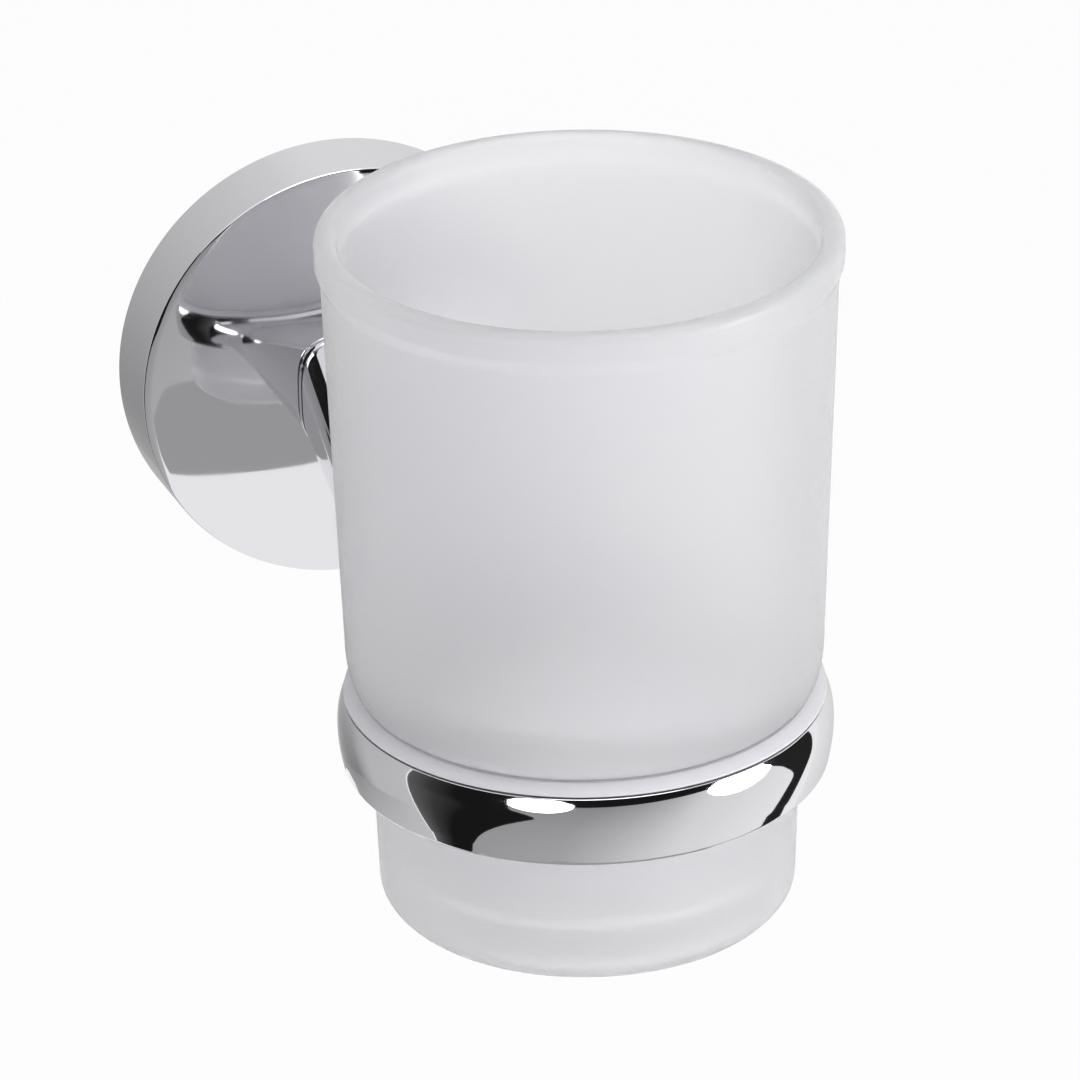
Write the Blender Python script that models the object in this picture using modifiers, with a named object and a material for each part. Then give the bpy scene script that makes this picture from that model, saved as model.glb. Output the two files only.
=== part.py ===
"""Wall-mounted toothbrush holder: a frosted glass tumbler hanging in a chromed ring.

A round hollow base covers a plate on the wall. Its front is a shallow dome with a low boss in the
middle, and the casting that carries arm and ring is screwed against that boss from behind. The
tumbler drops into the ring and hangs by its shoulder on a plastic liner.

The origin is the centre of the base on the wall. +Z is up, the wall is the plane Y = 0 and the
holder comes forward along -Y. All sizes are in metres.
"""

import math

import bmesh
import bpy
from mathutils import Matrix, Vector

# Clearances and counts
SEAT_GAP = 0.0003
CUT_OVERRUN = 0.002
ROUND_STEPS = 48
SMALL_STEPS = 16
FILLET_STEPS = 3
FILLET_LIMIT_SHARE = 0.49
ROUND_PROFILE_SHARE = 0.5
CHAMFER_BELOW = 0.0006
SMOOTH_ANGLE = math.radians(32)
WELD_DISTANCE = 0.00001

# Place of the ring: its axis in front of the wall, its top edge below the base's centre
REACH = 0.1065
RING_DROP = 0.0053

# Ring, a band that bellies out a little between its edges
RING_HEIGHT = 0.0096
RING_BELLY_RADIUS = 0.0327
RING_TOP_INSET = 0.0009
RING_BOTTOM_INSET = 0.0006
RING_WALL = 0.0025
RING_BELLY_HEIGHT_SHARE = 0.31
RING_BELLY_CURVE_SHARE = 0.4
RING_BELLY_STEPS = 8
RING_EDGE_FILLET = 0.0006

# Arm, a rounded square at its root and flat and wide where it runs into the ring
ARM_ROOT_HALF_WIDTH = 0.009
ARM_ROOT_HALF_HEIGHT = 0.0087
ARM_ROOT_DROP = 0.0013
ARM_FLARE = 0.007
ARM_FLARE_POWER = 12
ARM_EDGE_MARGIN = 0.0006
ARM_END_SHARE = 0.68
ARM_STOP_SHARE = 0.6
ARM_SQUARE_SHARE = 0.59
ARM_SECTIONS = 14
ARM_POINTS = 32

# Round base on the wall
BASE_BACK_RADIUS = 0.0315
BASE_FRONT_RADIUS = 0.0312
BASE_DEPTH = 0.0113
BASE_LIP_WIDTH = 0.0008
BASE_LIP_RISE = 0.0003
BASE_WALL = 0.0022
BASE_EDGE_FILLET = 0.00035
BOSS_REACH = 0.0153
SEAT_RADIUS = 0.0123
DOME_RADIUS = 0.15
DOME_STEPS = 10

# Plate on the wall
PLATE_CLEARANCE = 0.0004
PLATE_HEIGHT = 0.008
PLATE_WEB = 0.0025
PLATE_WALL = 0.0028
PLATE_FILLET = 0.0005
GROOVE_HEIGHT = 0.0048
GROOVE_DEPTH = 0.0012
GROOVE_FLOOR_WIDTH = 0.002
GROOVE_MOUTH_WIDTH = 0.0044
SLOT_WIDTH = 0.005
SLOT_LENGTH = 0.009
SLOT_SPACING = 0.03
SLOT_CORNER_SHARE = 0.48

# Grub screw through the base's lower side, an M4 with a cone point
GRUB_RADIUS = 0.002
GRUB_SINK = 0.0003
GRUB_POINT_RADIUS = 0.0008
GRUB_POINT_HEIGHT = 0.0012
GRUB_SOCKET_ACROSS = 0.002
GRUB_SOCKET_DEPTH = 0.0012

# Screw that holds the arm, an M6 with a button head, and its spring washer
ARM_SCREW_RADIUS = 0.003
ARM_SCREW_LENGTH = 0.016
ARM_SCREW_HEAD_RADIUS = 0.00525
ARM_SCREW_HEAD_HEIGHT = 0.0033
ARM_SCREW_CROWN_FILLET = 0.0022
ARM_SCREW_CHAMFER = 0.0006
ARM_SCREW_SOCKET_ACROSS = 0.004
ARM_SCREW_SOCKET_DEPTH = 0.0021
TAP_DEPTH = 0.0125
WASHER_RADIUS = 0.0051
WASHER_THICKNESS = 0.0015
WASHER_SPLIT = 0.0008
WASHER_SPLIT_ANGLE = math.radians(20)

# Dowel between boss and arm, below the screw
PIN_RADIUS = 0.0015
PIN_LENGTH = 0.005
PIN_DROP = 0.0062
PIN_CHAMFER = 0.0003

# Plastic liner between ring and glass
LINER_FLANGE = 0.00115
LINER_EDGE_HEIGHT = 0.0003
LINER_LIP_INSET = 0.00025
LINER_SKIRT = 0.0009
LINER_SKIRT_RECESS = 0.001
LINER_FILLET = 0.0002

# Tumbler
TUMBLER_HEIGHT = 0.0953
RIM_RADIUS = 0.034
LIP_WIDTH = 0.0028
LIP_FILLET = 0.00135
BEAD_HEIGHT = 0.0042
BEAD_FILLET = 0.0009
UPPER_TOP_RADIUS = 0.0333
SHOULDER_WIDTH = 0.00285
SHOULDER_HEIGHT = 0.03145
SHOULDER_RISE = 0.0066
SHOULDER_INSET = 0.0019
SHOULDER_STEPS = 5
GLASS_PLAY = 0.00035
FOOT_TAPER = 0.00105
FOOT_FILLET = 0.0034
FOOT_THICKNESS = 0.006
KICK_RADIUS = 0.021
KICK_DEPTH = 0.0009
GLASS_WALL = 0.0026
STEP_FILLET = 0.0045
FLOOR_FILLET = 0.005
GLASS_EDGE_FILLET = 0.0004

# Heights, depths and radii that follow from the sizes above
RING_TOP = -RING_DROP
RING_BOTTOM = RING_TOP - RING_HEIGHT
RING_TOP_RADIUS = RING_BELLY_RADIUS - RING_TOP_INSET
RING_BOTTOM_RADIUS = RING_BELLY_RADIUS - RING_BOTTOM_INSET
RING_BORE_RADIUS = RING_BELLY_RADIUS - RING_WALL
ARM_END = REACH - RING_BORE_RADIUS * ARM_END_SHARE
ARM_END_CHORD = math.sqrt((RING_BORE_RADIUS + RING_WALL / 2) ** 2 - (REACH - ARM_END) ** 2)
ARM_END_HALF_WIDTH = ARM_END_CHORD - ARM_FLARE
LINER_TOP = RING_TOP + SEAT_GAP + LINER_FLANGE
TUMBLER_FOOT = LINER_TOP + SEAT_GAP - SHOULDER_HEIGHT
LINER_BORE_RADIUS = RING_BORE_RADIUS - SEAT_GAP - LINER_SKIRT
LOWER_TOP_RADIUS = LINER_BORE_RADIUS - GLASS_PLAY
UPPER_FOOT_RADIUS = LOWER_TOP_RADIUS + SHOULDER_WIDTH
FOOT_RADIUS = LOWER_TOP_RADIUS - FOOT_TAPER
DOME_EDGE_RADIUS = BASE_FRONT_RADIUS - BASE_LIP_WIDTH
DOME_EDGE_DEPTH = BASE_DEPTH + BASE_LIP_RISE
DOME_CENTRE = DOME_EDGE_DEPTH - math.sqrt(DOME_RADIUS**2 - DOME_EDGE_RADIUS**2)
SEAT_DEPTH = DOME_CENTRE + math.sqrt((DOME_RADIUS - BASE_WALL) ** 2 - SEAT_RADIUS**2)
ARM_START = BOSS_REACH + SEAT_GAP
PLATE_RADIUS = BASE_BACK_RADIUS - BASE_WALL - PLATE_CLEARANCE
WASHER_FRONT = SEAT_DEPTH - SEAT_GAP
ARM_SCREW_SEAT = WASHER_FRONT - WASHER_THICKNESS - SEAT_GAP

CHROME = ((0.80, 0.80, 0.81, 1.0), 0.04, 1.0, 0.0)
FROSTED_GLASS = ((0.80, 0.82, 0.85, 1.0), 0.45, 0.0, 0.6)
CLEAR_PLASTIC = ((0.78, 0.79, 0.82, 1.0), 0.30, 0.0, 0.2)
RAW_ZINC = ((0.42, 0.43, 0.45, 1.0), 0.45, 1.0, 0.0)
STEEL = ((0.50, 0.50, 0.52, 1.0), 0.30, 1.0, 0.0)


def clear_scene():
    """Remove every object that the file starts with."""
    for item in list(bpy.data.objects):
        bpy.data.objects.remove(item, do_unlink=True)


def new_collection(name):
    """Add a collection to the scene."""
    collection = bpy.data.collections.new(name)
    bpy.context.scene.collection.children.link(collection)
    return collection


def paint(item, finish):
    """Give a piece its own material: colour, roughness, metallic and transmission."""
    colour, roughness, metallic, transmission = finish
    material = bpy.data.materials.new(item.name)
    material.use_nodes = True
    shader = material.node_tree.nodes["Principled BSDF"]
    shader.inputs["Base Color"].default_value = colour
    shader.inputs["Roughness"].default_value = roughness
    shader.inputs["Metallic"].default_value = metallic
    shader.inputs["Transmission Weight"].default_value = transmission
    item.data.materials.clear()
    item.data.materials.append(material)


def fillet(before, corner, after, radius):
    """Return the points of the arc that rounds a corner, or of the flat on a very small one."""
    to_before = before - corner
    to_after = after - corner
    half_angle = to_before.angle(to_after) / 2
    room = min(to_before.length, to_after.length) * FILLET_LIMIT_SHARE
    setback = min(radius / math.tan(half_angle), room)
    radius = setback * math.tan(half_angle)
    start = corner + to_before.normalized() * setback
    end = corner + to_after.normalized() * setback
    middle = (to_before.normalized() + to_after.normalized()).normalized()
    centre = corner + middle * (radius / math.sin(half_angle))
    turn = (start - centre).angle_signed(end - centre)
    steps = 1 if radius < CHAMFER_BELOW else FILLET_STEPS
    spin = [Matrix.Rotation(-turn * step / steps, 2) for step in range(steps + 1)]
    return [centre + rotation @ (start - centre) for rotation in spin]


def rounded(corners, closed):
    """Turn (across, along, fillet radius) corners into an outline with rounded corners."""
    places = [Vector(corner[:2]) for corner in corners]
    outline = []
    for index, (place, corner) in enumerate(zip(places, corners)):
        at_end = index in (0, len(corners) - 1)
        if corner[2] <= 0 or (at_end and not closed):
            outline.append(place)
            continue
        after = places[(index + 1) % len(places)]
        outline += fillet(places[index - 1], place, after, corner[2])
    return outline


def smooth(item):
    """Shade a piece smooth, with its sharp edges kept."""
    item.data.shade_smooth()
    item.data.set_sharp_from_angle(angle=SMOOTH_ANGLE)


def turned(name, outline, collection, closed=False, steps=ROUND_STEPS):
    """Turn an outline of (radius, height) points round the Z axis with a Screw modifier.

    The outline runs down its outer side, so that the faces point out. One that isn't closed
    starts and ends on the axis.
    """
    mesh = bpy.data.meshes.new(name)
    count = len(outline)
    edges = [(index, index + 1) for index in range(count - 1)]
    if closed:
        edges.append((count - 1, 0))
    mesh.from_pydata([(point[0], 0, point[1]) for point in outline], edges, [])
    item = bpy.data.objects.new(name, mesh)
    collection.objects.link(item)
    screw = item.modifiers.new("Turn", "SCREW")
    screw.steps = steps
    screw.render_steps = steps
    screw.use_merge_vertices = True
    screw.merge_threshold = WELD_DISTANCE
    screw.use_smooth_shade = True
    return freeze(item)


def freeze(item):
    """Replace a piece's mesh by what its modifiers make of it."""
    bpy.context.view_layer.update()
    evaluated = item.evaluated_get(bpy.context.evaluated_depsgraph_get())
    mesh = bpy.data.meshes.new_from_object(evaluated)
    item.modifiers.clear()
    item.data = mesh
    mesh.name = item.name
    smooth(item)
    return item


def forward(item, x=0, z=0, depth=0):
    """Stand a piece that was turned round Z on the wall, with its top coming forward."""
    item.rotation_euler = (math.radians(90), 0, 0)
    item.location = (x, -depth, z)
    return item


def rod(name, radius, length, collection, sides=SMALL_STEPS, point_radius=None):
    """Make a cylinder, or a cone, that stands on its origin along Z."""
    mesh = bpy.data.meshes.new(name)
    shape = bmesh.new()
    bmesh.ops.create_cone(
        shape,
        cap_ends=True,
        segments=sides,
        radius1=radius,
        radius2=radius if point_radius is None else point_radius,
        depth=length,
        matrix=Matrix.Translation((0, 0, length / 2)),
    )
    shape.to_mesh(mesh)
    shape.free()
    item = bpy.data.objects.new(name, mesh)
    collection.objects.link(item)
    return item


def rounded_slab(name, width, height, thickness, corner, collection):
    """Make a slab centred on its origin whose four edges along Z are rounded."""
    mesh = bpy.data.meshes.new(name)
    shape = bmesh.new()
    bmesh.ops.create_cube(shape, size=1, matrix=Matrix.Diagonal((width, height, thickness, 1)))
    if corner > 0:
        upright = [edge for edge in shape.edges if edge.verts[0].co.z != edge.verts[1].co.z]
        bmesh.ops.bevel(
            shape,
            geom=upright,
            offset=corner,
            segments=FILLET_STEPS,
            profile=ROUND_PROFILE_SHARE,
            affect="EDGES",
        )
    shape.to_mesh(mesh)
    shape.free()
    item = bpy.data.objects.new(name, mesh)
    collection.objects.link(item)
    return item


def combine(item, other, operation):
    """Add or cut with another solid through an exact Boolean modifier."""
    other.hide_render = True
    other.display_type = "WIRE"
    change = item.modifiers.new(other.name, "BOOLEAN")
    change.operation = operation
    change.solver = "EXACT"
    change.object = other
    return item


def hexagon_radius(across_flats):
    """Return the corner radius of a hexagon from its width across flats."""
    return across_flats / 2 / math.cos(math.radians(30))


def belly(top, widest, bottom, share, steps):
    """Return points of the parabola from top to bottom that passes the widest point at a share."""
    rest = 1 - share
    pull = (widest - top * rest**2 - bottom * share**2) / (2 * share * rest)
    curve = []
    for step in range(steps + 1):
        along = step / steps
        back = 1 - along
        curve.append(top * back**2 + pull * (2 * along * back) + bottom * along**2)
    return curve


def dome(start, end, inset):
    """Return points from one radius to another on the base's dome, or on the one inside it."""
    ball = DOME_RADIUS - inset
    points = []
    for step in range(DOME_STEPS + 1):
        across = start + (end - start) * step / DOME_STEPS
        points.append(Vector((across, DOME_CENTRE + math.sqrt(ball**2 - across**2))))
    return points


def arm_outline(half_width, half_height, middle, depth):
    """Return the points of a rounded oblong, |x / a|^n + |z / b|^n = 1 with 2 / n as the share."""
    points = []
    for step in range(ARM_POINTS):
        angle = 2 * math.pi * step / ARM_POINTS
        across = math.copysign(abs(math.cos(angle)) ** ARM_SQUARE_SHARE, math.cos(angle))
        up = math.copysign(abs(math.sin(angle)) ** ARM_SQUARE_SHARE, math.sin(angle))
        points.append((half_width * across, -depth, middle + half_height * up))
    return points


def make_rosette(parts, cutters):
    """Make the round base: a hollow domed cup with the boss that the arm stands on."""
    side = BASE_BACK_RADIUS - BASE_WALL
    rim = rounded(
        [
            (DOME_EDGE_RADIUS, DOME_EDGE_DEPTH, 0),
            (BASE_FRONT_RADIUS, BASE_DEPTH, BASE_EDGE_FILLET),
            (BASE_BACK_RADIUS, 0, BASE_EDGE_FILLET),
            (side, 0, 0),
        ],
        closed=False,
    )
    inside = dome(side, SEAT_RADIUS, BASE_WALL)
    outline = dome(0, DOME_EDGE_RADIUS, 0)[:-1] + rim + inside + [Vector((0, SEAT_DEPTH))]
    rosette = forward(turned("rosette", outline, parts))

    boss = loft(
        "boss",
        [
            arm_outline(ARM_ROOT_HALF_WIDTH, ARM_ROOT_HALF_HEIGHT, -ARM_ROOT_DROP, depth)
            for depth in (SEAT_DEPTH + BASE_WALL / 2, BOSS_REACH)
        ],
        cutters,
    )
    combine(rosette, boss, "UNION")

    length = BOSS_REACH - SEAT_DEPTH + 2 * CUT_OVERRUN
    screw_hole = rod("screw_hole", ARM_SCREW_RADIUS + SEAT_GAP, length, cutters)
    forward(screw_hole, depth=SEAT_DEPTH - CUT_OVERRUN)
    combine(rosette, screw_hole, "DIFFERENCE")

    pin_hole = rod("pin_hole_in_boss", PIN_RADIUS + SEAT_GAP / 2, PIN_LENGTH, cutters)
    forward(pin_hole, z=-PIN_DROP, depth=BOSS_REACH - PIN_LENGTH / 2 - SEAT_GAP)
    combine(rosette, pin_hole, "DIFFERENCE")

    grub_hole = rod("grub_hole", GRUB_RADIUS + SEAT_GAP, BASE_WALL + 2 * CUT_OVERRUN, cutters)
    grub_hole.location = (0, -GROOVE_HEIGHT, -BASE_BACK_RADIUS - CUT_OVERRUN)
    combine(rosette, grub_hole, "DIFFERENCE")
    paint(freeze(rosette), CHROME)


def arm_section(share):
    """Return the ring of points round the arm at a share of its length.

    The outline grows flatter up to the ring's back, and keeps its height from there on into the
    ring. It grows wider all the way.
    """
    depth = ARM_START + (ARM_END - ARM_START) * share
    taper = min((depth - ARM_START) / (REACH - RING_TOP_RADIUS - ARM_START), 1)
    end_half_height = RING_HEIGHT / 2 - ARM_EDGE_MARGIN
    half_width = ARM_ROOT_HALF_WIDTH + (ARM_END_HALF_WIDTH - ARM_ROOT_HALF_WIDTH) * share
    half_width += ARM_FLARE * share**ARM_FLARE_POWER
    half_height = ARM_ROOT_HALF_HEIGHT + (end_half_height - ARM_ROOT_HALF_HEIGHT) * taper
    end_middle = (RING_TOP + RING_BOTTOM) / 2
    middle = -ARM_ROOT_DROP + (end_middle + ARM_ROOT_DROP) * taper
    return arm_outline(half_width, half_height, middle, depth)


def loft(name, sections, collection):
    """Join rings of points into one closed skin with a flat face at each end."""
    shape = bmesh.new()
    rings = [[shape.verts.new(point) for point in section] for section in sections]
    for ring, following in zip(rings, rings[1:]):
        for index in range(len(ring)):
            after = (index + 1) % len(ring)
            shape.faces.new((ring[index], ring[after], following[after], following[index]))
    shape.faces.new(list(reversed(rings[0])))
    shape.faces.new(rings[-1])
    bmesh.ops.recalc_face_normals(shape, faces=shape.faces)
    mesh = bpy.data.meshes.new(name)
    shape.to_mesh(mesh)
    shape.free()
    item = bpy.data.objects.new(name, mesh)
    collection.objects.link(item)
    return item


def make_ring_arm(parts, cutters):
    """Make the arm and the ring, one casting, with the holes for the screw and the dowel.

    The arm's sections crowd towards the ring, where its sides sweep out. It ends inside the
    ring's wall.
    """
    sections = []
    for step in range(ARM_SECTIONS + 1):
        sections.append(arm_section(math.sin(math.radians(90) * step / ARM_SECTIONS)))
    ring_arm = loft("ring_arm", sections, parts)
    stop_radius = RING_BORE_RADIUS + RING_WALL * ARM_STOP_SHARE
    height = RING_HEIGHT + 2 * CUT_OVERRUN
    arm_stop = rod("arm_stop", stop_radius, height, cutters, ROUND_STEPS)
    arm_stop.location = (0, -REACH, RING_BOTTOM - CUT_OVERRUN)
    combine(ring_arm, arm_stop, "DIFFERENCE")

    side = belly(
        Vector((RING_TOP_RADIUS, RING_TOP)),
        Vector((RING_BELLY_RADIUS, RING_TOP - RING_HEIGHT * RING_BELLY_HEIGHT_SHARE)),
        Vector((RING_BOTTOM_RADIUS, RING_BOTTOM + RING_EDGE_FILLET)),
        RING_BELLY_CURVE_SHARE,
        RING_BELLY_STEPS,
    )
    foot = Vector((RING_BOTTOM_RADIUS - RING_EDGE_FILLET, RING_BOTTOM))
    bore = [Vector((RING_BORE_RADIUS, RING_BOTTOM)), Vector((RING_BORE_RADIUS, RING_TOP))]
    band = turned("band", side + [foot] + bore, cutters, closed=True)
    band.location.y = -REACH
    combine(ring_arm, band, "UNION")

    tap = rod("tapped_hole", ARM_SCREW_RADIUS + SEAT_GAP, TAP_DEPTH + CUT_OVERRUN, cutters)
    forward(tap, depth=ARM_START - CUT_OVERRUN)
    combine(ring_arm, tap, "DIFFERENCE")

    pin_hole = rod("pin_hole_in_arm", PIN_RADIUS + SEAT_GAP / 2, PIN_LENGTH, cutters)
    forward(pin_hole, z=-PIN_DROP, depth=ARM_START - PIN_LENGTH / 2 + SEAT_GAP)
    combine(ring_arm, pin_hole, "DIFFERENCE")
    paint(freeze(ring_arm), CHROME)


def make_ring_liner(parts):
    """Make the plastic bush that lines the ring and carries the glass on its sloping lip."""
    flange_foot = RING_TOP + SEAT_GAP
    skirt_radius = RING_BORE_RADIUS - SEAT_GAP
    skirt_foot = RING_BOTTOM + LINER_SKIRT_RECESS
    outline = rounded(
        [
            (RING_BORE_RADIUS - LINER_LIP_INSET, LINER_TOP, LINER_FILLET),
            (RING_TOP_RADIUS, flange_foot + LINER_EDGE_HEIGHT, LINER_FILLET),
            (RING_TOP_RADIUS, flange_foot, 0),
            (skirt_radius, flange_foot, 0),
            (skirt_radius, skirt_foot, 0),
            (LINER_BORE_RADIUS, skirt_foot, 0),
            (LINER_BORE_RADIUS, LINER_TOP, LINER_FILLET),
        ],
        closed=True,
    )
    liner = turned("ring_liner", outline, parts, closed=True)
    liner.location.y = -REACH
    paint(liner, CLEAR_PLASTIC)


def make_tumbler(parts):
    """Make the glass: a rolled lip, a rounding shoulder and a narrower lower part."""
    bead_foot = TUMBLER_HEIGHT - BEAD_HEIGHT
    step_height = SHOULDER_HEIGHT + SHOULDER_RISE
    inside = rounded(
        [
            (0, FOOT_THICKNESS, 0),
            (FOOT_RADIUS - GLASS_WALL, FOOT_THICKNESS, FLOOR_FILLET),
            (LOWER_TOP_RADIUS - GLASS_WALL, SHOULDER_HEIGHT, STEP_FILLET),
            (UPPER_FOOT_RADIUS - GLASS_WALL, step_height, STEP_FILLET),
            (UPPER_TOP_RADIUS - GLASS_WALL, bead_foot, BEAD_FILLET),
            (RIM_RADIUS - LIP_WIDTH, TUMBLER_HEIGHT, LIP_FILLET),
            (RIM_RADIUS, TUMBLER_HEIGHT, LIP_FILLET),
            (RIM_RADIUS, bead_foot, BEAD_FILLET),
            (UPPER_TOP_RADIUS, bead_foot - BEAD_FILLET, BEAD_FILLET),
            (UPPER_FOOT_RADIUS, step_height, 0),
        ],
        closed=False,
    )
    shoulder = []
    for step in range(1, SHOULDER_STEPS + 1):
        angle = math.radians(90) * step / SHOULDER_STEPS
        inset = SHOULDER_INSET * (1 - math.cos(angle))
        shoulder.append((UPPER_FOOT_RADIUS - inset, step_height - SHOULDER_RISE * math.sin(angle)))
    outside = rounded(
        [
            (*shoulder[-1], 0),
            (LOWER_TOP_RADIUS, SHOULDER_HEIGHT, GLASS_EDGE_FILLET),
            (FOOT_RADIUS, 0, FOOT_FILLET),
            (KICK_RADIUS, 0, GLASS_EDGE_FILLET),
            (KICK_RADIUS - KICK_DEPTH, KICK_DEPTH, GLASS_EDGE_FILLET),
            (0, KICK_DEPTH, 0),
        ],
        closed=False,
    )
    tumbler = turned("tumbler", inside + shoulder[:-1] + outside, parts)
    tumbler.location = (0, -REACH, TUMBLER_FOOT)
    paint(tumbler, FROSTED_GLASS)


def make_wall_plate(parts, cutters):
    """Make the plate under the base: a shallow cup with a groove for the grub screw's point."""
    groove_floor = PLATE_RADIUS - GROOVE_DEPTH
    bowl = PLATE_RADIUS - PLATE_WALL
    outline = rounded(
        [
            (0, PLATE_WEB, 0),
            (bowl, PLATE_WEB, PLATE_FILLET),
            (bowl, PLATE_HEIGHT, PLATE_FILLET),
            (PLATE_RADIUS, PLATE_HEIGHT, PLATE_FILLET),
            (PLATE_RADIUS, GROOVE_HEIGHT + GROOVE_MOUTH_WIDTH / 2, 0),
            (groove_floor, GROOVE_HEIGHT + GROOVE_FLOOR_WIDTH / 2, 0),
            (groove_floor, GROOVE_HEIGHT - GROOVE_FLOOR_WIDTH / 2, 0),
            (PLATE_RADIUS, GROOVE_HEIGHT - GROOVE_MOUTH_WIDTH / 2, 0),
            (PLATE_RADIUS, 0, PLATE_FILLET),
            (0, 0, 0),
        ],
        closed=False,
    )
    plate = forward(turned("wall_plate", outline, parts))
    for side in (-1, 1):
        slot = rounded_slab(
            f"screw_slot_{'left' if side < 0 else 'right'}",
            SLOT_WIDTH,
            SLOT_LENGTH,
            PLATE_WEB + 2 * CUT_OVERRUN,
            SLOT_WIDTH * SLOT_CORNER_SHARE,
            cutters,
        )
        forward(slot, x=side * SLOT_SPACING / 2, depth=PLATE_WEB / 2)
        combine(plate, slot, "DIFFERENCE")
    paint(freeze(plate), RAW_ZINC)


def make_set_screw(parts, cutters):
    """Make the grub screw: its point in the plate's groove, its socket open downwards."""
    point = PLATE_RADIUS - GROOVE_DEPTH + SEAT_GAP
    mouth = BASE_FRONT_RADIUS - GRUB_SINK
    outline = [
        (0, mouth - point),
        (GRUB_RADIUS, mouth - point),
        (GRUB_RADIUS, GRUB_POINT_HEIGHT),
        (GRUB_POINT_RADIUS, 0),
        (0, 0),
    ]
    screw = turned("set_screw", outline, parts, steps=SMALL_STEPS)
    screw.location = (0, -GROOVE_HEIGHT, -point)
    screw.rotation_euler = (math.radians(180), 0, 0)

    corner = hexagon_radius(GRUB_SOCKET_ACROSS)
    socket = rod("grub_socket", corner, GRUB_SOCKET_DEPTH + CUT_OVERRUN, cutters, sides=6)
    socket.location = (0, -GROOVE_HEIGHT, -mouth - CUT_OVERRUN)
    combine(screw, socket, "DIFFERENCE")
    paint(freeze(screw), STEEL)


def make_arm_screw(parts, cutters):
    """Make the screw that comes through the base from behind into the arm."""
    outline = rounded(
        [
            (0, ARM_SCREW_LENGTH, 0),
            (ARM_SCREW_RADIUS - ARM_SCREW_CHAMFER, ARM_SCREW_LENGTH, 0),
            (ARM_SCREW_RADIUS, ARM_SCREW_LENGTH - ARM_SCREW_CHAMFER, 0),
            (ARM_SCREW_RADIUS, 0, 0),
            (ARM_SCREW_HEAD_RADIUS, 0, 0),
            (ARM_SCREW_HEAD_RADIUS, -ARM_SCREW_HEAD_HEIGHT, ARM_SCREW_CROWN_FILLET),
            (0, -ARM_SCREW_HEAD_HEIGHT, 0),
        ],
        closed=False,
    )
    screw = forward(turned("arm_screw", outline, parts, steps=SMALL_STEPS), depth=ARM_SCREW_SEAT)

    corner = hexagon_radius(ARM_SCREW_SOCKET_ACROSS)
    depth = ARM_SCREW_SOCKET_DEPTH + CUT_OVERRUN
    socket = rod("arm_screw_socket", corner, depth, cutters, sides=6)
    forward(socket, depth=ARM_SCREW_SEAT - ARM_SCREW_HEAD_HEIGHT - CUT_OVERRUN)
    combine(screw, socket, "DIFFERENCE")
    paint(freeze(screw), STEEL)


def make_lock_washer(parts, cutters):
    """Make the spring washer under the screw's head, cut through at a slant."""
    hole = ARM_SCREW_RADIUS + SEAT_GAP
    outline = [
        (WASHER_RADIUS, WASHER_THICKNESS),
        (WASHER_RADIUS, 0),
        (hole, 0),
        (hole, WASHER_THICKNESS),
    ]
    washer = turned("lock_washer", outline, parts, closed=True, steps=SMALL_STEPS)
    forward(washer, depth=WASHER_FRONT - WASHER_THICKNESS)

    length = WASHER_THICKNESS + 2 * CUT_OVERRUN
    split = rounded_slab("washer_split", WASHER_SPLIT, WASHER_RADIUS, length, 0, cutters)
    split.rotation_euler = (math.radians(90), WASHER_SPLIT_ANGLE, 0)
    split.location = (0, -WASHER_FRONT + WASHER_THICKNESS / 2, WASHER_RADIUS - WASHER_RADIUS / 4)
    combine(washer, split, "DIFFERENCE")
    paint(freeze(washer), STEEL)


def make_locating_pin(parts):
    """Make the dowel that lies half in the boss and half in the arm."""
    outline = [
        (0, PIN_LENGTH),
        (PIN_RADIUS - PIN_CHAMFER, PIN_LENGTH),
        (PIN_RADIUS, PIN_LENGTH - PIN_CHAMFER),
        (PIN_RADIUS, PIN_CHAMFER),
        (PIN_RADIUS - PIN_CHAMFER, 0),
        (0, 0),
    ]
    pin = turned("locating_pin", outline, parts, steps=SMALL_STEPS)
    middle = (BOSS_REACH + ARM_START) / 2
    forward(pin, z=-PIN_DROP, depth=middle - PIN_LENGTH / 2)
    paint(pin, STEEL)


def main():
    """Build the holder: its pieces in one collection, their cutters in another."""
    clear_scene()
    parts = new_collection("toothbrush_holder")
    cutters = new_collection("cutters")
    make_wall_plate(parts, cutters)
    make_rosette(parts, cutters)
    make_set_screw(parts, cutters)
    make_ring_arm(parts, cutters)
    make_arm_screw(parts, cutters)
    make_lock_washer(parts, cutters)
    make_locating_pin(parts)
    make_ring_liner(parts)
    make_tumbler(parts)


main()
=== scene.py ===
"""Wall-mounted toothbrush holder: chromed base, arm and ring with a frosted tumbler.

The file is laid out as an add-on: the sizes and colours are properties, each piece has an
operator, and a panel in the 3D view's sidebar lists them. Run as a script, it makes every piece
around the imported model, then the stage and the camera.
"""

import math

import bpy
import numpy as np
from bpy.props import FloatProperty, FloatVectorProperty, PointerProperty
from mathutils import Matrix, Vector


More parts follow.
